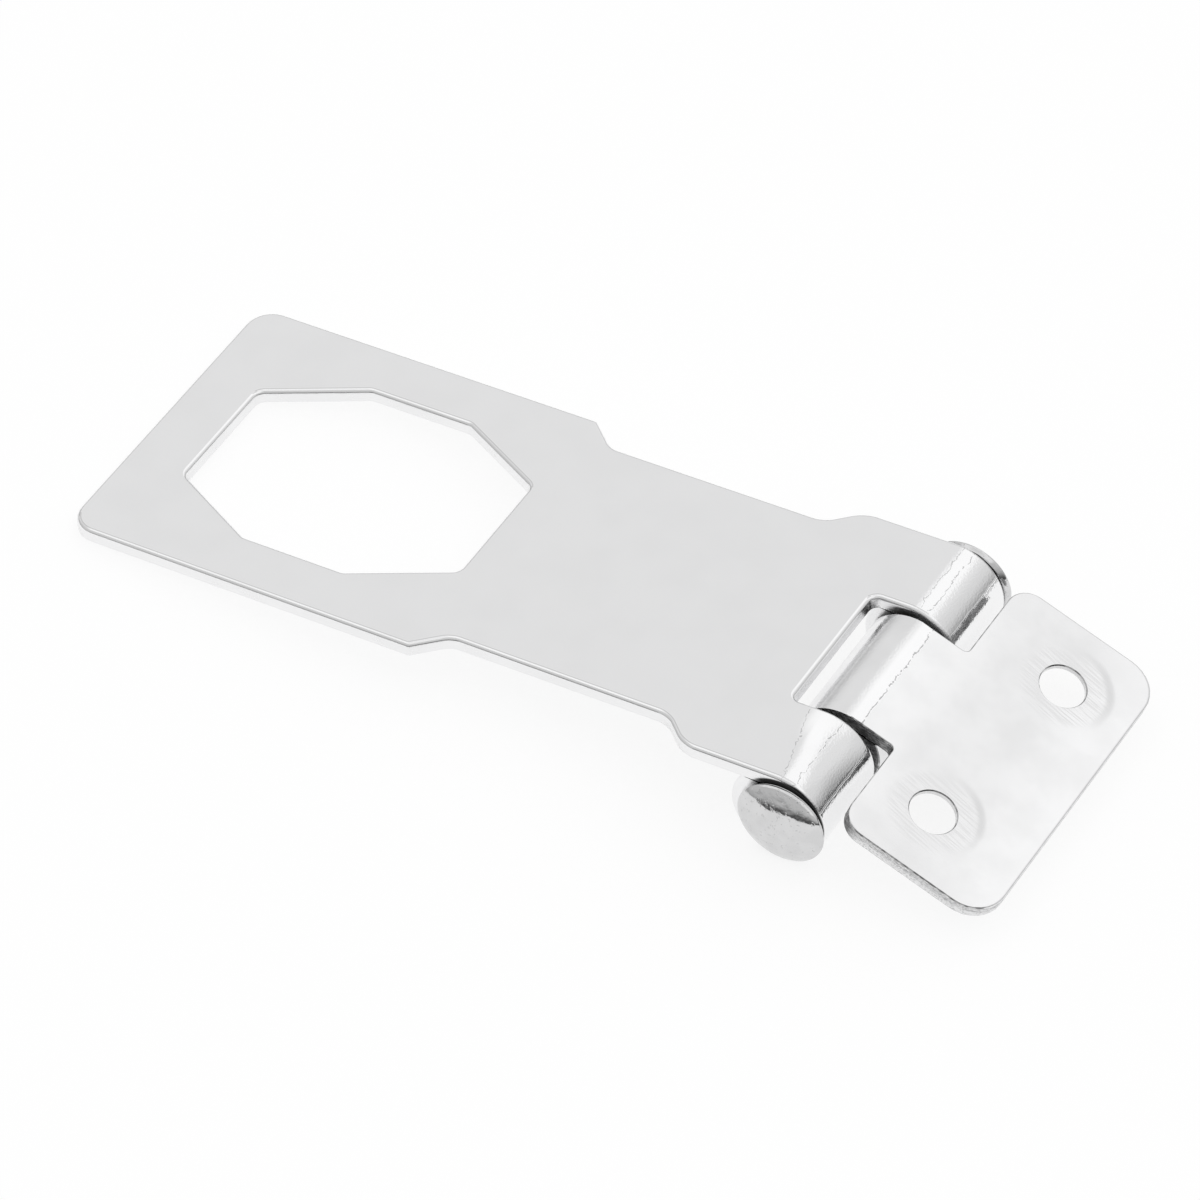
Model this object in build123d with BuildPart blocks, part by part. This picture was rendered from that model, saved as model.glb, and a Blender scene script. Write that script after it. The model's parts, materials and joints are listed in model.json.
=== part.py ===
# Locking hasp: a slotted strap hinged to a short screw leaf by a riveted pin.
# Millimetres, Z up. It lies half open, as a loose one does on a bench:
# the hinge barrel and the strap's free end touch the floor.
import os
from math import asin, atan, cos, degrees, hypot, radians, sin, sqrt

from build123d import *

# Plate
sheet = 1.65                  # thickness of both pressed plates
width = 40.0                  # of the strap's two ends, the hinge and the leaf
edge_break = 0.3              # dulled edge round each plate's smooth face

# Hinge
pin_radius = 3.2              # shank of the riveted pin
pin_clearance = 0.85          # radial play of the pin in the rolled eyes
pin_seat = 0.05               # room left where the loose pin lies against the eyes
pin_lean = -27.0              # side on which it lies, degrees from the strap's plane
roll_angle = 300.0            # how far each tab is rolled round the pin, degrees
slot_width = 17.6             # between the two outer knuckles
slot_gap = 0.12               # slot wall to the leaf's knuckle
slot_corner = 1.0
side_gap = 0.8                # end play on each side of the leaf's knuckle
fold = 24.15                  # angle that the hinge is folded away from flat, degrees

# Pin heads
head_overhang = 2.0           # how far the head stands out past the shank
head_seat = 1.7               # ring of the head that bears on the knuckle's end
head_under = 0.5              # bevel from that ring out to the rim
head_band = 0.3               # straight rim
head_rise = 1.0               # dome above the rim

# Strap outline, measured from the hinge axis toward the free end
strap_reach = 89.8
end_corner = 3.2
waist_width = 33.75
lock_end = 44.4               # length of the wide end round the opening
notch_run = 3.6               # slope from that end down to the waist
notch_tip = 0.7               # corner radii of that slope
notch_root = 2.6
shoulder = 11.35              # full-width length at the hinge
shoulder_run = 3.5            # slope from there down to the waist
shoulder_tip = 4.0            # corner radii of that slope
shoulder_root = 3.2

# Opening that drops over the lock
end_bar = 7.6                 # from the free end to the opening
opening_length = 35.7
opening_width = 26.4
opening_end_flat = 15.0
opening_side_flat = 12.9
opening_corner = 1.2

# Screw leaf, measured from the hinge axis toward its outer edge
leaf_reach = 24.7
leaf_gap = 0.2                # leaf's shoulders to the outer knuckles
leaf_corner = 4.2
leaf_shoulder_corner = 2.7
tab_root = 0.6
hole_radius = 2.66
far_hole_inset = (8.5, 8.4)   # from the leaf's outer edge and from its side
near_hole_inset = (11.4, 7.8)
countersink_radius = 3.8      # on the rough face, under the strap when shut
countersink_angle = 90.0
pad_rise = 0.12               # flat raised ring pressed round each hole
pad_radius = 4.6
pad_foot_radius = 6.2

# Sizes that follow from the ones above
eye_radius = pin_radius + pin_clearance
barrel_radius = eye_radius + sheet
slot_depth = sqrt((barrel_radius + slot_gap) ** 2 - eye_radius**2)
leaf_shoulder = barrel_radius + leaf_gap
tab_width = slot_width - 2 * side_gap
finger_width = (width - slot_width) / 2
opening_centre = strap_reach - end_bar - opening_length / 2
notch = strap_reach - lock_end
holes = [
    (leaf_reach - far_hole_inset[0], width / 2 - far_hole_inset[1]),
    (leaf_reach - near_hole_inset[0], near_hole_inset[1] - width / 2),
]

# Lie on the floor: the strap tilts until its end is level with the barrel's underside
strap_tilt = asin(barrel_radius / hypot(strap_reach, eye_radius)) + atan(eye_radius / strap_reach)
leaf_tilt = radians(fold) - strap_tilt


def reach_on_floor(reach, tilt):
    """Level distance from the hinge axis to the outermost point of a tilted plate."""
    return reach * cos(tilt) + (barrel_radius - edge_break) * sin(tilt)


hinge_x = (reach_on_floor(strap_reach, strap_tilt) - reach_on_floor(leaf_reach, leaf_tilt)) / 2
hinge_point = (hinge_x, 0, barrel_radius)

# Each plate has a plane through the hinge axis: x toward the leaf, y along the pin
strap_plane = Plane(hinge_point, x_dir=(cos(strap_tilt), 0, sin(strap_tilt)),
                    z_dir=(-sin(strap_tilt), 0, cos(strap_tilt)))
leaf_plane = Plane(hinge_point, x_dir=(cos(leaf_tilt), 0, -sin(leaf_tilt)),
                   z_dir=(sin(leaf_tilt), 0, cos(leaf_tilt)))

# The loose pin lies against one side of the strap's eyes
pin_shift = pin_clearance - pin_seat
pin_point = strap_plane.from_local_coords(
    (pin_shift * cos(radians(pin_lean)), 0, pin_shift * sin(radians(pin_lean))))


def side_view(plane, y):
    """Plane across the pin at y, looking along +Y, with the plate's normal upward."""
    return Plane(plane.from_local_coords((0, y, 0)), x_dir=plane.x_dir, z_dir=(0, -1, 0))


def roll_profile(turn):
    """Section of one rolled knuckle: a strip that starts at the top and turns round the pin."""
    with BuildSketch() as profile:
        with BuildLine():
            outer = CenterArc((0, 0), barrel_radius, 90, turn)
            inner = CenterArc((0, 0), eye_radius, 90, turn)
            Line(outer @ 0, inner @ 0)
            Line(outer @ 1, inner @ 1)
        make_face()
    return profile.sketch


def smooth_rim(part, plane, side):
    """Edges round a plate's smooth face and its knuckles, without the seam where the roll starts."""
    face = part.faces().filter_by(GeomType.PLANE).sort_by(Axis(plane.origin, plane.z_dir))[-1]
    rim = face.edges().filter_by(lambda e: side * plane.to_local_coords(e.center()).X > 0.01)
    turns = part.edges().filter_by(GeomType.CIRCLE).filter_by(
        lambda e: abs(e.radius - barrel_radius) < 1e-4)
    return rim + turns


# Swinging strap: waisted plate with the lock opening, and two fingers rolled into knuckles
with BuildPart() as strap:
    with BuildSketch(strap_plane.offset(eye_radius)):
        with BuildLine():
            FilletPolyline(
                (0, width / 2),
                (-shoulder, width / 2),
                (-shoulder - shoulder_run, waist_width / 2),
                (-notch + notch_run, waist_width / 2),
                (-notch, width / 2),
                (-strap_reach, width / 2),
                (-strap_reach, 0),
                radius=[shoulder_tip, shoulder_root, notch_root, notch_tip, end_corner],
            )
            mirror(about=Plane.XZ)
            Line((0, -width / 2), (0, width / 2))
        make_face()
        with BuildLine(Location((-opening_centre, 0))):
            FilletPolyline(
                (-opening_length / 2, -opening_end_flat / 2),
                (-opening_length / 2, opening_end_flat / 2),
                (-opening_side_flat / 2, opening_width / 2),
                (opening_side_flat / 2, opening_width / 2),
                (opening_length / 2, opening_end_flat / 2),
                (opening_length / 2, -opening_end_flat / 2),
                (opening_side_flat / 2, -opening_width / 2),
                (-opening_side_flat / 2, -opening_width / 2),
                radius=opening_corner,
                close=True,
            )
        make_face(mode=Mode.SUBTRACT)
        with BuildLine():
            FilletPolyline(
                (0, slot_width / 2),
                (-slot_depth, slot_width / 2),
                (-slot_depth, -slot_width / 2),
                (0, -slot_width / 2),
                radius=slot_corner,
            )
            Line((0, -slot_width / 2), (0, slot_width / 2))
        make_face(mode=Mode.SUBTRACT)
    extrude(amount=sheet)
    with BuildSketch(side_view(strap_plane, width / 2), side_view(strap_plane, -slot_width / 2)):
        add(roll_profile(-roll_angle))
    extrude(amount=finger_width)
    chamfer(smooth_rim(strap, strap_plane, -1), edge_break)

# Screw leaf: plate with one tab rolled into the middle knuckle, and two countersunk holes
with BuildPart() as leaf:
    with BuildSketch(leaf_plane.offset(eye_radius)):
        with BuildLine():
            FilletPolyline(
                (0, tab_width / 2),
                (leaf_shoulder, tab_width / 2),
                (leaf_shoulder, width / 2),
                (leaf_reach, width / 2),
                (leaf_reach, 0),
                radius=[tab_root, leaf_shoulder_corner, leaf_corner],
            )
            mirror(about=Plane.XZ)
            Line((0, -tab_width / 2), (0, tab_width / 2))
        make_face()
    extrude(amount=sheet)
    with BuildSketch(side_view(leaf_plane, tab_width / 2)):
        add(roll_profile(roll_angle))
    extrude(amount=tab_width)
    chamfer(smooth_rim(leaf, leaf_plane, 1), edge_break)
    for hole in holes:
        pad_plane = Plane(leaf_plane.from_local_coords((*hole, barrel_radius)),
                          x_dir=(0, 1, 0), z_dir=leaf_plane.x_dir)
        with BuildSketch(pad_plane):
            with BuildLine():
                foot = (pad_radius + pad_foot_radius) / 2
                base = Polyline((pad_radius, pad_rise), (0, pad_rise), (0, -sheet / 2),
                                (pad_foot_radius, -sheet / 2), (pad_foot_radius, 0))
                TangentArc(base @ 0, (foot, pad_rise / 2), tangent=(1, 0))
                TangentArc(base @ 1, (foot, pad_rise / 2), tangent=(-1, 0))
            make_face()
        revolve(axis=Axis(pad_plane.origin, leaf_plane.z_dir))
    with Locations(*[Location(Plane(leaf_plane.from_local_coords((*hole, eye_radius)),
                                    x_dir=leaf_plane.x_dir, z_dir=-leaf_plane.z_dir))
                     for hole in holes]):
        CounterSinkHole(hole_radius, countersink_radius, depth=2 * sheet,
                        counter_sink_angle=countersink_angle)

# Riveted pin: loose shank through all three knuckles, with a low domed head formed on each end
with BuildPart() as pin:
    with BuildSketch(Plane(pin_point, x_dir=(0, 1, 0), z_dir=(1, 0, 0))):
        with BuildLine():
            seat_radius = pin_radius + head_seat
            head_radius = pin_radius + head_overhang
            rim = width / 2 + head_under + head_band
            Polyline((rim + head_rise, 0), (0, 0), (0, pin_radius), (width / 2, pin_radius),
                     (width / 2, seat_radius), (width / 2 + head_under, head_radius), (rim, head_radius))
            TangentArc((rim + head_rise, 0), (rim, head_radius), tangent=(0, 1))
        make_face()
        mirror(about=Plane.YZ)
    revolve(axis=Axis(pin_point, (0, 1, 0)))

strap.part.label = "hasp_strap"
leaf.part.label = "fixed_leaf"
pin.part.label = "hinge_pin"

os.makedirs("parts", exist_ok=True)
export_step(strap.part, "parts/hasp_strap.step")
export_step(leaf.part, "parts/fixed_leaf.step")
export_step(pin.part, "parts/hinge_pin.step")

print("strap tilt", round(degrees(strap_tilt), 3), "leaf tilt", round(degrees(leaf_tilt), 3))
print("hinge at", [round(v, 3) for v in hinge_point])
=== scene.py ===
# %% [markdown]
# # A locking hasp in bright plate
# A locking hasp is two pressed pieces of steel sheet and one riveted pin. The strap swings over a lock,
# the leaf is screwed to the door, and both are rolled round the pin. It was modelled first in CAD, so the
# script begins by loading that model as a fixed frame. Every piece below is made in the same place, rides
# on the CAD body that carries it, and is measured against the CAD box at the end.

# %% Load the frame
import json
from math import asin, atan, atan2, copysign, cos, degrees, hypot, pi, radians, sin, sqrt, tan

import bmesh
import bpy
from mathutils import Matrix, Vector


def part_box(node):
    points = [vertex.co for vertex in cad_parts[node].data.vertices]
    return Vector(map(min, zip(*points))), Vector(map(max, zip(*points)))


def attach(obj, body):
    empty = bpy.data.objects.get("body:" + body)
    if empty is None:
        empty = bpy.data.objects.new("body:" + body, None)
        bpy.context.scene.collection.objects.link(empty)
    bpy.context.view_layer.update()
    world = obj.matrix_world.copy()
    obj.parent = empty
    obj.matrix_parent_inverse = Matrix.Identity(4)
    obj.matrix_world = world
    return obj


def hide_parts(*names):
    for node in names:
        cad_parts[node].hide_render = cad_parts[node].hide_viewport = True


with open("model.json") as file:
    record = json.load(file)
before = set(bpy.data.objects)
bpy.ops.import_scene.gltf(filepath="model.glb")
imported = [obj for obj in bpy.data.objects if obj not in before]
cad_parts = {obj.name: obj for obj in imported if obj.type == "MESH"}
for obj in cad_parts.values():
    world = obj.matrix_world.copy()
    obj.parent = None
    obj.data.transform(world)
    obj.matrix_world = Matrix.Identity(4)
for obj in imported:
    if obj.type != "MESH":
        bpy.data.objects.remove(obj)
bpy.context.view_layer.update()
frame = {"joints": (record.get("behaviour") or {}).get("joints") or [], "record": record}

MM = 0.001
scene = bpy.context.scene

# %% [markdown]
# ## Where the two plates lie
# Both plates are easiest to draw flat: x runs from the hinge toward the leaf, y along the pin and z out
# of the smooth face, in millimetres, with the pin's axis at zero. One matrix for each plate then turns it
# to the tilt that it has on the floor. The leaf's tilt is read from the record's screw face. The strap's
# tilt follows from the barrel and the strap's far end both touching the floor.

# %% Plate matrices
sheet = 1.65
width = 40.0
eye_radius = 4.05
barrel_radius = eye_radius + sheet
strap_reach = 89.8

pivot = Vector(frame["joints"][0]["pos_m"])
leaf_normal = next(m["axis"] for m in frame["record"]["mounts"] if m["name"] == "leaf_face")
leaf_tilt = atan2(leaf_normal[0], leaf_normal[2])
strap_tilt = -(asin(barrel_radius / hypot(strap_reach, eye_radius)) + atan(eye_radius / strap_reach))


def plate_matrix(tilt):
    return Matrix.Translation(pivot) @ Matrix.Rotation(tilt, 4, "Y") @ Matrix.Scale(MM, 4)


print("strap tilt", round(degrees(strap_tilt), 2), "leaf tilt", round(degrees(leaf_tilt), 2))

# %% [markdown]
# ## Drawing a blank with rounded corners
# A press cuts each plate from flat sheet, and the corners of its tool are rounded. The outline could be a
# curve object that is turned into a mesh. Here it is one face through a few corner points, because each
# corner can then be bevelled as a vertex with its own radius. The bevel's offset is measured along the
# edges, so a helper works it out from the radius and the corner's angle.

# %% Outline helpers
corner_steps = 8
tiny = 1e-4


def round_corner(bm, vert, radius):
    ends = [edge.other_vert(vert).co - vert.co for edge in vert.link_edges]
    reach = radius / tan(ends[0].angle(ends[1]) / 2)
    bmesh.ops.bevel(bm, geom=[vert], offset=reach, offset_type="OFFSET", affect="VERTICES",
                    segments=corner_steps, profile=0.5, material=-1, clamp_overlap=False)


def draw_outline(bm, corners, height):
    """One flat face through corners of (x, y, radius)."""
    verts = [bm.verts.new((x, y, height)) for x, y, _ in corners]
    bm.faces.new(verts)
    for vert, (_, _, radius) in zip(verts, corners):
        if radius:
            round_corner(bm, vert, radius)


def raise_sheet(bm):
    """Extrude a flat blank upward to the thickness of the sheet."""
    raised = bmesh.ops.extrude_face_region(bm, geom=bm.faces[:])["geom"]
    top = [v for v in raised if isinstance(v, bmesh.types.BMVert)]
    bmesh.ops.translate(bm, vec=(0, 0, sheet), verts=top)
    bmesh.ops.recalc_face_normals(bm, faces=bm.faces)


# %% [markdown]
# ## Rounding the rims
# Shearing draws the sheet over into a round along one side of the cut, and leaves a sharper, slightly
# torn edge along the other. A Bevel modifier would give every edge the same round, so the rims are
# bevelled in the mesh: those of the smooth face by one size and those of the back by another. The edges
# where a tab starts to roll are left out, because the sheet runs on there.

# %% Rim helpers
drawn_edge = 0.55
torn_edge = 0.2
drawn_steps = 6
torn_steps = 3
rim_angle = radians(60)


def rim_edges(bm, height):
    """Edges at one height between a flat face and a wall, except where a roll starts."""
    return [edge for edge in bm.edges
            if all(abs(v.co.z - height) < tiny for v in edge.verts)
            and edge.calc_face_angle(0) > rim_angle
            and not all(abs(v.co.x) < tiny for v in edge.verts)]


def round_rims(bm, face_size, back_size):
    for height, size in ((barrel_radius, face_size), (eye_radius, back_size)):
        steps = drawn_steps if size > torn_edge else torn_steps
        bmesh.ops.bevel(bm, geom=rim_edges(bm, height), offset=size, offset_type="OFFSET", affect="EDGES",
                        segments=steps, profile=0.5, material=-1, clamp_overlap=True)


# %% [markdown]
# ## Rolling a tab
# A die rolls each tab round the pin into a knuckle. A Simple Deform modifier could bend a long tab, but
# the radius would then depend on the tab's length. Spinning the tab's end face round the pin's axis gives
# the radius itself, and carries the rounded section along, just as the real strip keeps its edges. The
# inner points of the last row are turned a little further, so that the cut end is slanted and closes on
# the plate.

# %% Roll helper
roll_angle = radians(313)
roll_steps = 75
end_slant = radians(26)


def roll_tabs(bm, turn):
    """Spin each tab's end round the pin, and slant its cut so that the roll closes on the plate."""
    ends = [f for f in bm.faces if all(abs(v.co.x) < tiny for v in f.verts)]
    geom = set(ends) | {e for f in ends for e in f.edges} | {v for f in ends for v in f.verts}
    last = bmesh.ops.spin(bm, geom=list(geom), cent=(0, 0, 0), axis=(0, 1, 0), angle=turn, steps=roll_steps,
                          use_merge=False, use_duplicate=False)["geom_last"]
    for vert in last:
        if isinstance(vert, bmesh.types.BMVert):
            depth = (barrel_radius - hypot(vert.co.x, vert.co.z)) / sheet
            vert.co = Matrix.Rotation(copysign(end_slant, turn) * depth, 3, "Y") @ vert.co
    return len(ends)


# %% [markdown]
# ## Marking the sheared walls
# A sheared wall is duller than a polished face, and a rim lies between the two. Each could have a
# material of its own, but one material that reads a mark can blend them. So each face is marked by how
# far it leans from the polished side, which on a knuckle points straight away from the pin.

# %% Wall marks
wall_facing = 0.2
polished_facing = 0.94


def mark_walls(bm, lead):
    """Give walls 1, rims a half and polished faces 0. The roll turns to the lead side."""
    bmesh.ops.recalc_face_normals(bm, faces=bm.faces)
    layer = bm.faces.layers.float.new("sheared")
    for face in bm.faces:
        centre = face.calc_center_median()
        rolled = lead * centre.x > 0 or centre.z < eye_radius - tiny
        out = Vector((centre.x, 0, centre.z)).normalized() if rolled else Vector((0, 0, 1))
        facing = abs(face.normal.dot(out))
        face[layer] = 1.0 if facing < wall_facing else 0.0 if facing > polished_facing else 0.5


# %% [markdown]
# ## Finishing a piece
# A finished piece is moved to its place in its mesh, so that its object stays at the origin as a CAD
# node's does. Edges sharper than a set angle stay sharp, the rest shade smooth, and weighted normals keep
# the large flat faces flat beside their small round rims. The piece rides on its body and stands for its
# CAD node.

# %% Finish helper
sharp_angle = radians(35)


def finish_piece(bm, name, matrix, body, node):
    bmesh.ops.remove_doubles(bm, verts=bm.verts, dist=tiny)
    bmesh.ops.recalc_face_normals(bm, faces=bm.faces)
    open_edges = sum(not e.is_manifold for e in bm.edges)
    bm.transform(matrix)
    mesh = bpy.data.meshes.new(name)
    bm.to_mesh(mesh)
    bm.free()
    mesh.shade_smooth()
    mesh.set_sharp_from_angle(angle=sharp_angle)
    piece = bpy.data.objects.new(name, mesh)
    scene.collection.objects.link(piece)
    weighted = piece.modifiers.new("flat faces", "WEIGHTED_NORMAL")
    weighted.mode = "FACE_AREA"
    weighted.keep_sharp = True
    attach(piece, body)
    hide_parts(node)
    low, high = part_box(node)
    drift = max(max(abs(min(v.co[i] for v in mesh.vertices) - low[i]),
                    abs(max(v.co[i] for v in mesh.vertices) - high[i])) for i in range(3))
    print(name, len(mesh.polygons), "faces,", open_edges, "open edges,",
          round(drift / MM, 3), "mm off its node")
    return piece


# %% [markdown]
# ## The strap
# The strap is a waisted plate with an eight-sided opening and a slot between two fingers. Its outline
# could be a face with a hole cut in it. But the strap is the same on both sides of its centreline, so
# half of it is enough: one plain face that runs round half the opening and half the slot, which is easy
# to extrude.

# %% Outline of half the strap
slot_width = 17.6
slot_gap = 0.12
slot_corner = 1.0
slot_depth = sqrt((barrel_radius + slot_gap) ** 2 - eye_radius**2)
shoulder = 11.35
shoulder_run = 3.5
shoulder_tip = 4.0
shoulder_root = 3.2
waist_width = 33.75
waist = waist_width / 2
lock_end = 44.4
notch = strap_reach - lock_end
notch_run = 3.6
notch_root = 2.6
notch_tip = 0.7
end_corner = 3.2
end_bar = 7.6
opening_length = 35.7
opening_far = strap_reach - end_bar
opening_near = opening_far - opening_length
opening_middle = (opening_far + opening_near) / 2
opening_width = 26.4
opening_side = opening_width / 2
half_flat_end = 15.0 / 2
half_flat_side = 12.9 / 2
opening_corner = 1.2

half_strap = [
    (0, slot_width / 2, 0),
    (0, width / 2, 0),
    (-shoulder, width / 2, shoulder_tip),
    (-shoulder - shoulder_run, waist, shoulder_root),
    (-notch + notch_run, waist, notch_root),
    (-notch, width / 2, notch_tip),
    (-strap_reach, width / 2, end_corner),
    (-strap_reach, 0, 0),
    (-opening_far, 0, 0),
    (-opening_far, half_flat_end, opening_corner),
    (-opening_middle - half_flat_side, opening_side, opening_corner),
    (-opening_middle + half_flat_side, opening_side, opening_corner),
    (-opening_near, half_flat_end, opening_corner),
    (-opening_near, 0, 0),
    (-slot_depth, 0, 0),
    (-slot_depth, slot_width / 2, slot_corner),
]
print("slot", round(slot_depth, 2), "mm deep, opening from", opening_near, "to", opening_far, "mm")

# %% [markdown]
# The half is mirrored, raised, rounded and rolled. The press drew the strap's smooth face over, so the
# wide round is on that side. Just inside the rims that face the front, a thin painted dark line stands for
# a reflection at the start of the round, so the first narrow facet of those rims is marked as well.

# %% Model the strap
strap_back_edge = 0.1
lip_lean = (0.06, 0.2)
lip_facing = 0.9

bm = bmesh.new()
draw_outline(bm, half_strap, eye_radius)
bmesh.ops.mirror(bm, geom=bm.verts[:] + bm.edges[:] + bm.faces[:], axis="Y", merge_dist=tiny)
bmesh.ops.recalc_face_normals(bm, faces=bm.faces)
raise_sheet(bm)
round_rims(bm, drawn_edge, strap_back_edge)
print("fingers rolled:", roll_tabs(bm, roll_angle))
mark_walls(bm, 1)
lip = bm.faces.layers.float.new("near_lip")
for face in bm.faces:
    face[lip] = float(lip_lean[0] < -face.normal.y < lip_lean[1] and face.normal.z > lip_facing)
print("faces on the near lip:", int(sum(face[lip] for face in bm.faces)))
strap = finish_piece(bm, "swinging_strap", plate_matrix(strap_tilt), "strap", "hasp_strap")

# %% [markdown]
# ## The screw leaf
# The leaf is a short plate with one tab and two countersunk holes. It was pressed from its back, so its
# smooth face has the torn edge. Holes could be cut with a Boolean, but that leaves slivers which shade
# badly. So the rims are rounded first, and then each flat is opened inside a narrow border, ready to be
# filled again round the holes.

# %% Blank of the leaf
leaf_reach = 24.65
leaf_gap = 0.2
side_gap = 0.8
tab_root = 0.6
leaf_shoulder_corner = 2.7
leaf_corner = 4.2
leaf_back_edge = 0.12
border = 0.15
leaf_shoulder = barrel_radius + leaf_gap
tab = (slot_width - 2 * side_gap) / 2

half_leaf = [
    (0, tab, 0),
    (leaf_shoulder, tab, tab_root),
    (leaf_shoulder, width / 2, leaf_shoulder_corner),
    (leaf_reach, width / 2, leaf_corner),
]
leaf_outline = [(x, -y, radius) for x, y, radius in half_leaf] + half_leaf[::-1]

bm = bmesh.new()
draw_outline(bm, leaf_outline, eye_radius)
raise_sheet(bm)
round_rims(bm, torn_edge, leaf_back_edge)
flats = sorted(bm.faces, key=lambda face: face.calc_area())[-2:]
bmesh.ops.inset_region(bm, faces=flats, thickness=border, depth=0, use_boundary=True, use_even_offset=True)
print("flats opened:", len(flats), "at heights", [round(f.calc_center_median().z, 2) for f in flats])
bmesh.ops.delete(bm, geom=flats, context="FACES_ONLY")

# %% [markdown]
# ## Screw holes
# Each hole sits in a low raised ring that the press flattened. Its wall, from the foot of the ring
# through the bore to the countersink on the back, is round, so it is one profile spun about the hole's
# axis. The ring's slope is an S of a few short steps, which shades as a soft swell. The flats are then
# filled between the outline and the hole walls, once on the smooth face and once on the back.

# %% Spin the hole walls and fill the two flats
holes = [Vector((16.2, 11.6, 0)), Vector((13.3, -12.2, 0))]
hole_radius = 2.66
hole_lip = 0.12
hole_steps = 64
countersink_radius = 3.8
sink_depth = countersink_radius - hole_radius
ring_rise = 0.12
ring_radius = 4.6
ring_foot = 6.2
slope_steps = 6


def hole_wall(bm, centre):
    points = []
    for step in range(slope_steps + 1):
        share = step / slope_steps
        rise = ring_rise * (3 - 2 * share) * share**2
        points.append((ring_foot + (ring_radius - ring_foot) * share, barrel_radius + rise))
    points += [
        (hole_radius + hole_lip, barrel_radius + ring_rise),
        (hole_radius, barrel_radius + ring_rise - hole_lip),
        (hole_radius, eye_radius + sink_depth),
        (countersink_radius, eye_radius),
    ]
    verts = [bm.verts.new(centre + Vector((radius, 0, z))) for radius, z in points]
    edges = [bm.edges.new(pair) for pair in zip(verts, verts[1:])]
    bmesh.ops.spin(bm, geom=verts + edges, cent=centre, axis=(0, 0, 1), angle=2 * pi, steps=hole_steps,
                   use_merge=True, use_duplicate=False)


for centre in holes:
    hole_wall(bm, centre)
bmesh.ops.remove_doubles(bm, verts=bm.verts, dist=tiny)
for height in (barrel_radius, eye_radius):
    loops = [e for e in bm.edges if len(e.link_faces) == 1
             and all(abs(v.co.z - height) < tiny for v in e.verts)]
    bmesh.ops.triangle_fill(bm, use_beauty=True, use_dissolve=False, edges=loops)
    print("flat at", round(height, 2), "mm filled from", len(loops), "edges")
bmesh.ops.recalc_face_normals(bm, faces=bm.faces)

# %% [markdown]
# ## The middle knuckle
# The middle knuckle doesn't follow the outer two exactly: its roll starts a little further out, so its
# back falls away sooner and catches the light differently. A roll about another axis would no longer be
# round the pin. Instead, each point of the rolled tab that stands outside a circle shifted along the leaf
# is drawn in to that circle. A few cuts across the tab give the bend points to follow.

# %% Roll the tab
roll_shift = 1.2
bend_cuts = 5

for cut in range(1, bend_cuts + 1):
    bmesh.ops.bisect_plane(bm, geom=bm.verts[:] + bm.edges[:] + bm.faces[:],
                           plane_co=(roll_shift * cut / bend_cuts, 0, 0), plane_no=(1, 0, 0))
print("tabs rolled:", roll_tabs(bm, -roll_angle))
bend_centre = Vector((roll_shift, 0, 0))
for vert in bm.verts:
    spoke = (vert.co - bend_centre) * Vector((1, 0, 1))
    if vert.co.x < roll_shift and spoke.length > barrel_radius:
        vert.co += spoke * (barrel_radius / spoke.length - 1)
mark_walls(bm, -1)
leaf = finish_piece(bm, "screw_leaf", plate_matrix(leaf_tilt), "leaf", "fixed_leaf")

# %% [markdown]
# ## The riveted pin
# The pin's ends are hammered over into low heads: a crown that is nearly flat, and a shoulder that falls
# away to the rim. The pin is round, so half its outline is drawn as a chain of vertices, spun round the
# pin's axis and mirrored. The head's curve is an ellipse with its rise taken to a power just above one,
# so that the shoulder falls a little sooner. The pin is loose and lies a little askew in the knuckles: a
# shear along its length lifts its far head.

# %% Model the pin
pin_radius = 3.2
seat_radius = 4.9
head_radius = 5.2
head_height = 1.8
head_rise = 1.22
head_fall = 1.25
head_band = 0.13
head_steps = 12
pin_skew = Vector((0.1, 0, 0.5))
pin_steps = 96

head_top = width / 2 + head_height
chain = []
for step in range(head_steps + 1):
    angle = step / head_steps * pi / 2
    chain.append((head_radius * sin(angle), head_top - head_rise * (1 - cos(angle) ** head_fall)))
chain += [
    (head_radius, head_top - head_rise - head_band),
    (seat_radius, width / 2),
    (pin_radius, width / 2),
    (pin_radius, 0),
]
bm = bmesh.new()
verts = [bm.verts.new((radius, y, 0)) for radius, y in chain]
edges = [bm.edges.new(pair) for pair in zip(verts, verts[1:])]
bmesh.ops.spin(bm, geom=verts + edges, cent=(0, 0, 0), axis=(0, 1, 0), angle=2 * pi, steps=pin_steps,
               use_merge=True, use_duplicate=False)
bmesh.ops.mirror(bm, geom=bm.verts[:] + bm.edges[:] + bm.faces[:], axis="Y", merge_dist=tiny)
for vert in bm.verts:
    vert.co += pin_skew * max(0, vert.co.y / width + 0.5)
low, high = (Vector(corner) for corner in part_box("hinge_pin"))
pin_matrix = Matrix.Translation((low + high) / 2) @ Matrix.Scale(MM, 4)
pin = finish_piece(bm, "riveted_pin", pin_matrix, "strap", "hinge_pin")

# %% [markdown]
# ## Writing shader maths as Python
# A material is a network of nodes. Wiring each by hand hides the idea, so one small class wraps an output
# socket: arithmetic on it adds Math nodes, and one method adds any other node with its settings and
# inputs.

# %% Socket class


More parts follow.
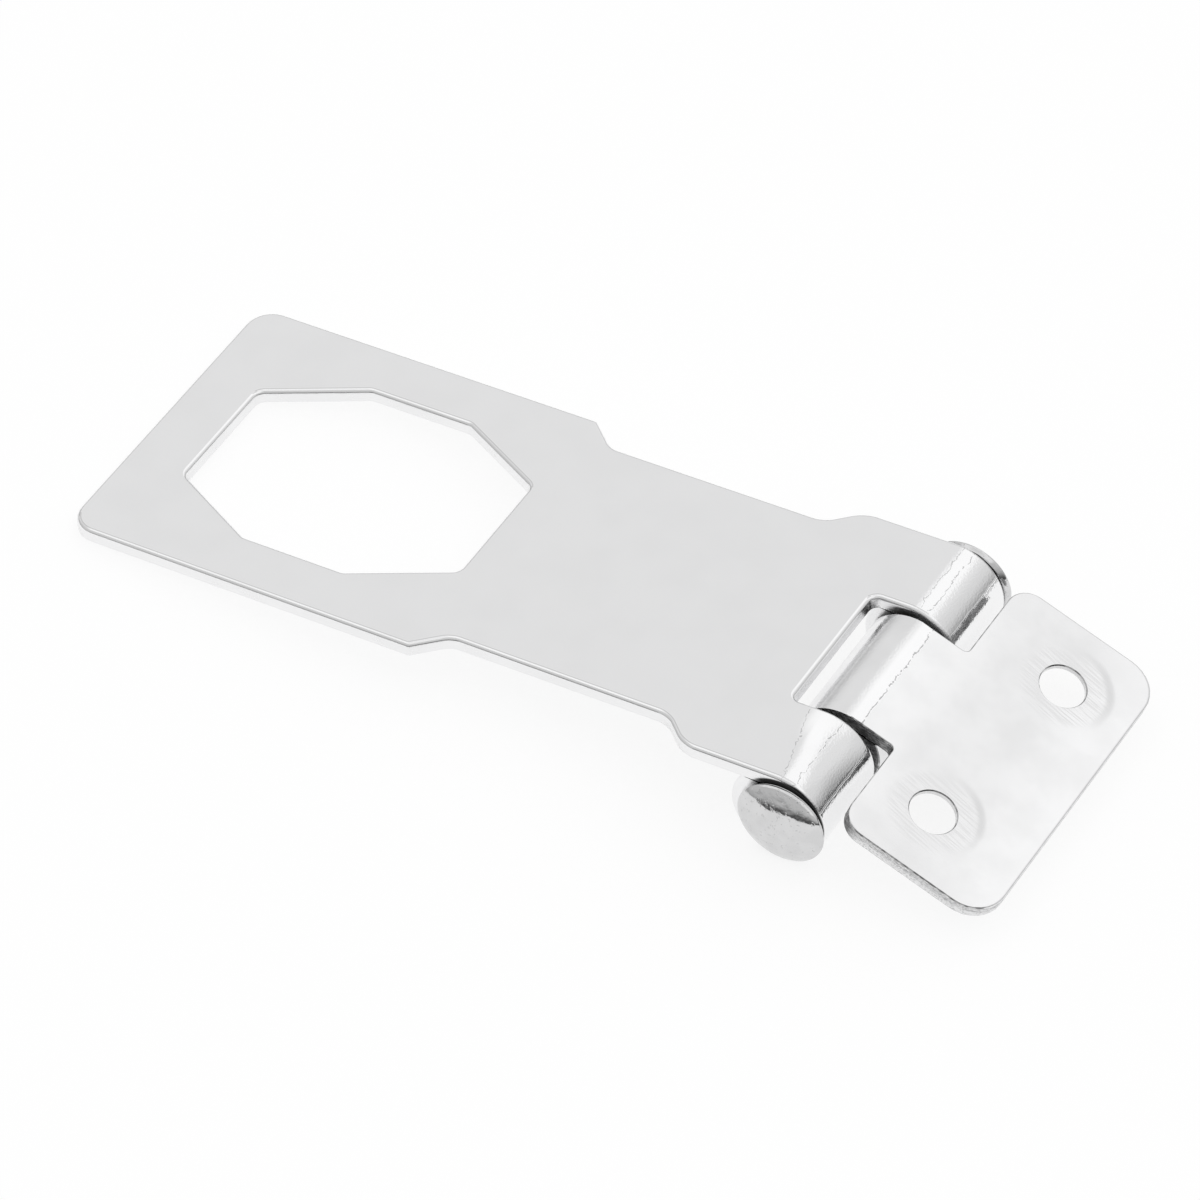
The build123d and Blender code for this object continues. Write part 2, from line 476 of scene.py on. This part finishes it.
class Wire:
    def __init__(self, tree, socket=None):
        self.tree, self.socket = tree, socket

    def add(self, kind, settings=None, inputs=None, output=0):
        node = self.tree.nodes.new("ShaderNode" + kind)
        for name, value in (settings or {}).items():
            setattr(node, name, value)
        for key, value in (inputs or {}).items():
            if isinstance(value, Wire):
                self.tree.links.new(value.socket, node.inputs[key])
            else:
                node.inputs[key].default_value = value
        return Wire(self.tree, node.outputs[output] if len(node.outputs) else None)

    def math(self, operation, *values):
        return self.add("Math", {"operation": operation}, dict(enumerate(values)))

    def __add__(self, other): return self.math("ADD", self, other)
    def __radd__(self, other): return self.math("ADD", other, self)
    def __sub__(self, other): return self.math("SUBTRACT", self, other)
    def __rsub__(self, other): return self.math("SUBTRACT", other, self)
    def __mul__(self, other): return self.math("MULTIPLY", self, other)
    def __rmul__(self, other): return self.math("MULTIPLY", other, self)

    def size(self): return self.math("ABSOLUTE", self)

    def ease(self, start, end, low=0.0, high=1.0):
        """Smooth step from low to high as the value goes from start to end."""
        return self.add("MapRange", {"interpolation_type": "SMOOTHSTEP"},
                        {"Value": self, "From Min": start, "From Max": end, "To Min": low, "To Max": high})

    def blend(self, first, second):
        """Colour that goes from first to second as the value goes from 0 to 1."""
        return self.add("Mix", {"data_type": "RGBA"}, {0: self, 6: first, 7: second}, output=2)


def new_material(name):
    material = bpy.data.materials.new(name)
    material.use_nodes = True
    material.node_tree.nodes.clear()
    return material, Wire(material.node_tree)


# %% [markdown]
# ## Measuring on a plate
# Each finish below is drawn in a plate's own flat millimetres. A Mapping node gives them from Object
# coordinates, by undoing the tilt and the scale. Round a knuckle the useful length is the arc from the
# top of the barrel. Small helpers give noise, a thin line, and the distance from an axis along the pin.

# %% Measuring helpers
line_core = 0.3


def plate_place(wire, tilt):
    place = wire.add("TexCoord", output="Object")
    return wire.add("Mapping", {"vector_type": "TEXTURE"},
                    {"Vector": place, "Location": pivot, "Rotation": (0, tilt, 0), "Scale": (MM, MM, MM)})


def split(wire, vector):
    return [wire.add("SeparateXYZ", {}, {0: vector}, output=axis) for axis in "XYZ"]


def noise(wire, vector, scale, detail=2.0):
    return wire.add("TexNoise", {}, {"Vector": vector, "Scale": scale, "Detail": detail})


def thin_line(offset, half_width):
    return offset.size().ease(half_width, half_width * line_core)


def from_axis(wire, place, centre=(0, 0, 0)):
    offset = wire.add("VectorMath", {"operation": "SUBTRACT"}, {0: place, 1: centre})
    offset = wire.add("VectorMath", {"operation": "MULTIPLY"}, {0: offset, 1: (1, 0, 1)})
    return wire.add("VectorMath", {"operation": "LENGTH"}, {0: offset}, output="Value")


# %% [markdown]
# ## Plate, and the walls of a cut
# Bright plate is a metal that is very slightly blue, and its relief is a bump in millimetres. A sheared
# wall has streaks that run across the cut. They are noise that is squeezed through the sheet, because a
# drawn pattern would repeat.

# %% Metal helpers
blue_tint = 1.005
streak_stretch = (1.6, 1.6, 12.0)


def grey(value):
    return (value, value, value * blue_tint, 1)


def metal_output(wire, colour, roughness, height):
    bump = wire.add("Bump", {}, {"Strength": 1.0, "Distance": MM, "Height": height})
    shader = wire.add("BsdfPrincipled", {}, {"Base Color": colour, "Metallic": 1.0, "Roughness": roughness,
                                             "Normal": bump})
    wire.add("OutputMaterial", {}, {"Surface": shader})


def face_mark(wire, name):
    return wire.add("Attribute", {"attribute_name": name}, output="Fac")


def sheared_walls(wire, place):
    """Masks of walls and rims, and the streaks of the cut."""
    mark = face_mark(wire, "sheared")
    stretched = wire.add("VectorMath", {"operation": "MULTIPLY"}, {0: place, 1: streak_stretch})
    return mark.ease(0.6, 0.9), 4 * mark * (1 - mark), noise(wire, stretched, scale=1.0, detail=4.0)


# %% [markdown]
# ## Strap finish: lines along the knuckles
# The knuckles show thin broken dark lines, which are painted reflections of the edges of a bright reflected
# band, and a raised line at their foot. They could be cut into the mesh, but they are far finer than its
# faces. So each is a thin line at a set arc from the top of the barrel, and noise makes it wander and
# breaks it up. On the near finger the bend starts further back and on a slant.

# %% Strap finish: marks
far_bend = 1.15
near_bend_back = 4.9
near_bend_slant = 0.24
back_line = 2.35
foot_line = 6.0
near_foot_shift = 0.55
near_end = -width / 2

material, wire = new_material("strap_bright_plate")
place = plate_place(wire, strap_tilt)
x, y, z = split(wire, place)
wall, rim, streak = sheared_walls(wire, place)
polished = 1 - wall
arc = x.math("ARCTAN2", x, z) * barrel_radius
near_side = y.ease(1, -1)
finger = y.size().ease(slot_width / 2 + 0.4, slot_width / 2 + 1.0) * polished
wander = noise(wire, place, scale=0.8, detail=4.0) - 0.5
broken = noise(wire, place, scale=2.3, detail=3.0).ease(0.42, 0.5)
bend_start = far_bend - near_side * (near_bend_back + near_bend_slant * y)
# Painted dark reflection lines along the knuckles: one where the bend starts, one further back.
painted_bend_line = thin_line(arc - bend_start + wander * 1.8, half_width=0.08)
painted_back_line = thin_line(arc - back_line + wander * 1.5, half_width=0.09)
painted_knuckle_lines = (painted_bend_line * 0.8 + painted_back_line) * broken * finger
foot_arc = foot_line + near_side * near_foot_shift
foot_mark = thin_line(arc - foot_arc + wander * 0.5, half_width=0.13) * finger
print("strap marks:", len(wire.tree.nodes), "nodes")

# %% [markdown]
# ## Strap finish: relief
# Polished plate is never quite flat. A slow wave from the press bends the reflections, rolling stretches
# the skin of the knuckles into a fine peel, and the near knuckle sags toward the slot. All of it is too
# shallow for the mesh, so it is added up as one height in millimetres for a Bump node.

# %% Strap finish: relief
strap_wave = 0.05
strap_grain = 0.0006
peel_depth = 0.022
strap_tear = 0.02
foot_rise = 0.02
sag_depth = 0.8

rolled = arc.ease(-0.5, 1.5) * polished
sag = near_side * y.ease(near_end + 1.5, near_end + 10) * arc.ease(-2.4, 3.0) * arc.ease(11.0, 3.0)
height = (noise(wire, place, scale=0.07) * strap_wave
          + noise(wire, place, scale=2.2) * strap_grain
          + noise(wire, place, scale=4.0) * peel_depth * rolled
          + streak * strap_tear * wall
          + foot_mark * foot_rise
          - sag * sag_depth)
print("strap relief:", len(wire.tree.nodes), "nodes")

# %% [markdown]
# ## Strap finish: colour and gloss
# The strap was polished before it was plated, so it is nearly a mirror, with faint clouds in its gloss. A
# metal's Base Color is what it reflects, so each painted dark line is a darker grey blended over the plate.
# The knuckle's end under the near head gets a painted shade, for the shadow in that narrow gap. The sheared
# walls and the rims are rougher.

# %% Strap finish: colour and gloss
bright_strap = grey(0.905)
clouded_strap = grey(0.89)
painted_line_strap = grey(0.5)
gap_shade = grey(0.04)
lip_strength = 0.5
pin_axis = (0.71, 0, -0.36)

cloud = noise(wire, place, scale=0.16, detail=3.0).ease(0.35, 0.7)
shade = cloud.blend(bright_strap, clouded_strap)
# The painted dark reflection lines are blended over the plate.
shade = painted_knuckle_lines.blend(shade, painted_line_strap)
# A painted dark line, standing for a reflection, on the first facet of the near rims.
shade = (face_mark(wire, "near_lip") * lip_strength).blend(shade, painted_line_strap)
# Painted shade on the knuckle's end, in the narrow gap under the near head.
under_head = from_axis(wire, place, pin_axis).ease(head_radius + 0.55, head_radius + 0.35)
painted_gap_shade = under_head * y.ease(near_end + 0.3, near_end + 0.15) * x.ease(-3.5, -1.5)
shade = painted_gap_shade.blend(shade, gap_shade)
roughness = 0.05 + 0.04 * cloud + 0.2 * wall + 0.14 * rim
metal_output(wire, shade, roughness, height)
strap.data.materials.append(material)
print(material.name, len(wire.tree.nodes), "nodes")

# %% [markdown]
# ## Leaf finish: where its marks are
# The leaf was only ground lightly, so short parallel lines are left on the raised rings. Its tab has one
# broken dark line and a bright band beside it: a painted reflection and a painted highlight. Distances from
# the two holes give the rings and the bores, and noise that is stretched along the stroke gives the
# grinding lines.

# %% Leaf finish: marks
grind_angle = radians(8)
grind_stretch = (0.25, 4.2, 1.0)
tab_line = 1.5

material, wire = new_material("leaf_bright_plate")
place = plate_place(wire, leaf_tilt)
x, y, z = split(wire, place)
wall, rim, streak = sheared_walls(wire, place)
arc = x.math("ARCTAN2", x, z) * barrel_radius
in_plan = wire.add("VectorMath", {"operation": "MULTIPLY"}, {0: place, 1: (1, 1, 0)})
ring, bore = 0, 0
for centre in holes:
    from_hole = wire.add("VectorMath", {"operation": "DISTANCE"}, {0: in_plan, 1: centre}, output="Value")
    ring = from_hole.ease(ring_radius + 1.0, ring_radius - 0.6) + ring
    bore = from_hole.ease(countersink_radius + 0.5, countersink_radius + 0.2) + bore
stroke = wire.add("VectorRotate", {"rotation_type": "Z_AXIS"}, {"Vector": place, "Angle": grind_angle})
stroke = wire.add("VectorMath", {"operation": "MULTIPLY"}, {0: stroke, 1: grind_stretch})
grind_lines = noise(wire, stroke, scale=1.0, detail=1.0).ease(0.4, 0.6) * ring
on_tab = y.size().ease(tab + 0.1, tab - 0.2)
wander = noise(wire, place, scale=0.9, detail=4.0) - 0.5
broken = noise(wire, place, scale=2.3, detail=3.0).ease(0.42, 0.5)
# A painted dark reflection line on the tab, and a painted highlight band just before it.
painted_tab_line = thin_line(arc - tab_line + wander * 0.9, half_width=0.1) * broken * (1 - wall) * on_tab
painted_tab_highlight = arc.ease(0.0, 0.5) * arc.ease(1.7, 1.4) * on_tab
print("leaf marks:", len(wire.tree.nodes), "nodes")

# %% [markdown]
# ## Leaf finish: relief
# The leaf has shorter waves and more grain than the strap, and the tear in its walls is deep enough to
# catch the light. The bores are left out of the tear, because they are smoother.

# %% Leaf finish: relief
leaf_wave = 0.03
leaf_grain = 0.001
grind_depth = 0.004
leaf_tear = 0.06

rolled = arc.ease(1.5, -0.5) * (1 - wall)
torn = wall * (1 - bore)
height = (noise(wire, place, scale=0.2) * leaf_wave
          + noise(wire, place, scale=2.2) * leaf_grain
          + grind_lines * grind_depth
          + noise(wire, place, scale=4.0) * peel_depth * rolled
          + streak * leaf_tear * torn)
print("leaf relief:", len(wire.tree.nodes), "nodes")

# %% [markdown]
# ## Leaf finish: colour of the face
# The face is blotchy, and greyer in its middle than along its edges. The painted highlight band and the
# painted dark reflection line on the tab, and the grinding lines, are blended over it in turn, as on the
# strap.

# %% Leaf finish: face
bright_leaf = grey(0.88)
greyer_middle_leaf = grey(0.76)
painted_highlight_leaf = grey(0.92)
painted_line_leaf = grey(0.45)
ground_leaf = grey(0.74)

cloud = noise(wire, place, scale=0.22, detail=3.0).ease(0.3, 0.7)
middle = x.ease(23, 14) * x.ease(1, 11)
shade = (cloud * 0.4 + middle * 0.6).blend(bright_leaf, greyer_middle_leaf)
# The painted highlight band and the painted dark reflection line on the tab.
shade = (painted_tab_highlight * 0.8).blend(shade, painted_highlight_leaf)
shade = painted_tab_line.blend(shade, painted_line_leaf)
shade = grind_lines.blend(shade, ground_leaf)
print("leaf face:", len(wire.tree.nodes), "nodes")

# %% [markdown]
# ## Leaf finish: walls and edges
# A sheared wall is streaked grey where the sheet tore, above a brighter band where the punch cut cleanly.
# In the recess beside the knuckle a painted shade darkens it. The torn edge round the smooth face is a
# nicked dark line, partly the edge's nicks and partly a painted dark reflection, which is paler along the
# outer edge.

# %% Leaf finish: walls and edges
tear_grey = grey(0.46)
cut_grey = grey(0.86)
painted_recess_shade = grey(0.10)
recess_pale = grey(0.5)
speck_grey = grey(0.3)
nick_and_reflection_grey = grey(0.25)

tear = (streak.ease(0.42, 0.58) + z.ease(eye_radius + 0.95, eye_radius + 0.55)).blend(tear_grey, cut_grey)
# Painted shade on the walls in the recess beside the knuckle.
shaded_recess_tear = streak.ease(0.4, 0.65).blend(painted_recess_shade, recess_pale)
tear = x.ease(leaf_shoulder + 3.1, leaf_shoulder + 0.6).blend(tear, shaded_recess_tear)
speck = noise(wire, place, scale=5.0).ease(0.52, 0.62) * 0.5
shade = torn.blend(shade, speck.blend(tear, speck_grey))
nick = noise(wire, place, scale=1.1, detail=4.0).ease(0.40, 0.56, low=0.35)
nick = nick * (1 - bore * z.ease(barrel_radius - 0.2, barrel_radius - 0.3))
outer = x.ease(leaf_reach - 1.4, leaf_reach - 0.5) * 0.8
# The dark rim line is partly the edge's nicks and partly a painted dark reflection; less is painted along
# the outer edge.
shade = (rim * nick * (1 - outer)).blend(shade, nick_and_reflection_grey)
roughness = 0.10 + 0.05 * cloud + 0.3 * wall
metal_output(wire, shade, roughness, height)
leaf.data.materials.append(material)
print(material.name, len(wire.tree.nodes), "nodes")

# %% [markdown]
# ## Rivet finish
# The heads were hammered cold and plated afterwards: a slightly uneven dome, duller than the sheet, with
# small pits. On the near head the hammer left a facet, on its upper side, that falls away toward the
# knuckle. Modelled, it would stand out of the CAD box, so it is part of the bump. A painted shade darkens
# the narrow gap under each head.

# %% Rivet finish
dome_wave = 0.10
hammer_grain = 0.006
pit_depth = 0.02
facet_depth = 1.2
bright_rivet = grey(0.69)
clouded_rivet = grey(0.65)
pitted_rivet = grey(0.62)
painted_rivet_gap_shade = grey(0.06)

material, wire = new_material("rivet_bright_plate")
place = plate_place(wire, strap_tilt)
x, y, z = split(wire, place)
facet_edge = z + noise(wire, place, scale=0.45, detail=2.5) * 0.9 - x.ease(1.0, -3.5) * 0.9
facet = facet_edge.ease(1.65, 6.1) * y.ease(near_end + 0.1, near_end - 0.3)
pit = noise(wire, place, scale=2.6, detail=1.0).ease(0.64, 0.72)
height = (noise(wire, place, scale=0.45) * dome_wave
          + noise(wire, place, scale=2.5, detail=3.0) * hammer_grain
          - pit * pit_depth
          - facet * facet_depth)
cloud = noise(wire, place, scale=0.5, detail=3.0).ease(0.35, 0.7)
under_head = from_axis(wire, place).ease(head_radius + 0.35, head_radius + 0.2)
# Painted shade in the narrow gap under each head.
gap = (y.size() - width / 2).size().ease(0.12, 0.05) * under_head
shade = cloud.blend(bright_rivet, clouded_rivet)
shade = pit.blend(shade, pitted_rivet)
shade = gap.blend(shade, painted_rivet_gap_shade)
roughness = 0.10 + 0.06 * cloud
metal_output(wire, shade, roughness, height)
pin.data.materials.append(material)
print(material.name, len(wire.tree.nodes), "nodes")

# %% [markdown]
# ## Floor
# The hasp lies on a white table. A plain white floor would turn grey in a soft light. So the floor shows
# part of its own white to the camera and to reflections, and the rest comes from light that falls on it:
# it stays white and still takes the hasp's shadow.

# %% Floor
floor_half = 1.5
table_grey = (0.22, 0.22, 0.22, 1)
table_glow = 0.82
white = (1, 1, 1, 1)

bm = bmesh.new()
bmesh.ops.create_grid(bm, x_segments=2, y_segments=2, size=floor_half)
mesh = bpy.data.meshes.new("table")
bm.to_mesh(mesh)
bm.free()
table = bpy.data.objects.new("table", mesh)
scene.collection.objects.link(table)

material, wire = new_material("white_table")
camera_ray = wire.add("LightPath", output="Is Camera Ray")
glossy_ray = wire.add("LightPath", output="Is Glossy Ray")
passing_ray = wire.add("LightPath", output="Is Transmission Ray")
seen = camera_ray + glossy_ray + passing_ray
lit = wire.add("BsdfDiffuse", {}, {"Color": table_grey})
own = wire.add("Emission", {}, {"Color": white, "Strength": seen * table_glow})
wire.add("OutputMaterial", {}, {"Surface": wire.add("AddShader", {}, {0: lit, 1: own})})
mesh.materials.append(material)
print("table", 2 * floor_half, "m wide")

# %% [markdown]
# ## Studio
# Metal shows its surroundings. Here they are a bright ceiling that is dimmer straight above, a pale wall
# behind the hasp with a brighter panel in it, and a darker room on the camera's side that gives each
# rounded edge its thin dark line. Lamps could stand for them, but bright plate would show each lamp's
# outline, so the world is drawn softly by direction.

# %% World
panel_gain = 0.24
corner_loss = 0.08

world = bpy.data.worlds.new("studio")
scene.world = world
world.use_nodes = True
world.node_tree.nodes.clear()
wire = Wire(world.node_tree)
across, back, rise = split(wire, wire.add("TexCoord", output="Generated"))
panel = across.ease(-0.33, -0.13) * (across + back).ease(1.06, 0.87) * rise.ease(0.1, 0.4)
far_wall = rise.ease(-0.25, 0.5, low=0.18, high=0.82)
far_wall = far_wall + panel * panel_gain - across.ease(0.45, 0.6) * corner_loss
near_foot = across.ease(-0.55, -0.36, low=0.45, high=0.05)
near_wall = rise.ease(0.02, 0.6, low=near_foot, high=0.66)
walls = near_wall + back.ease(-0.05, 0.35) * (far_wall - near_wall)
ceiling = rise.ease(0.70, 0.80) * back.ease(0.42, 0.25) * back.ease(-0.45, -0.3)
ceiling_glow = rise.ease(0.93, 0.99, low=1.05, high=0.88)
glow = walls + ceiling * (ceiling_glow - walls)
background = wire.add("Background", {}, {"Color": white, "Strength": glow})
wire.add("OutputWorld", {}, {"Surface": background})
print(world.name, len(wire.tree.nodes), "nodes")

# %% [markdown]
# ## Camera
# The camera has the photograph's long lens and angle. It could be placed by its coordinates, but a
# direction and a distance from a point on the table are easier to adjust against a picture.

# %% Camera
camera_target = Vector((-0.00218, 0.00187, 0))
camera_azimuth = radians(-60.17)
camera_elevation = radians(46.42)
camera_roll = radians(1.162)
camera_distance = 0.81399
camera_lens = 223.689
sensor_width = 36

toward = Vector((cos(camera_azimuth) * cos(camera_elevation), sin(camera_azimuth) * cos(camera_elevation),
                 sin(camera_elevation)))
camera_data = bpy.data.cameras.new("camera")
camera_data.lens = camera_lens
camera_data.sensor_width = sensor_width
camera = bpy.data.objects.new("camera", camera_data)
turn = toward.to_track_quat("Z", "Y").to_matrix().to_4x4() @ Matrix.Rotation(camera_roll, 4, "Z")
camera.matrix_world = Matrix.Translation(camera_target + toward * camera_distance) @ turn
scene.collection.objects.link(camera)
scene.camera = camera
scene.view_settings.view_transform = "Standard"
print("camera", [round(v, 4) for v in camera.matrix_world.translation])
print("right", [round(v, 4) for v in camera.matrix_world.col[0][:3]])
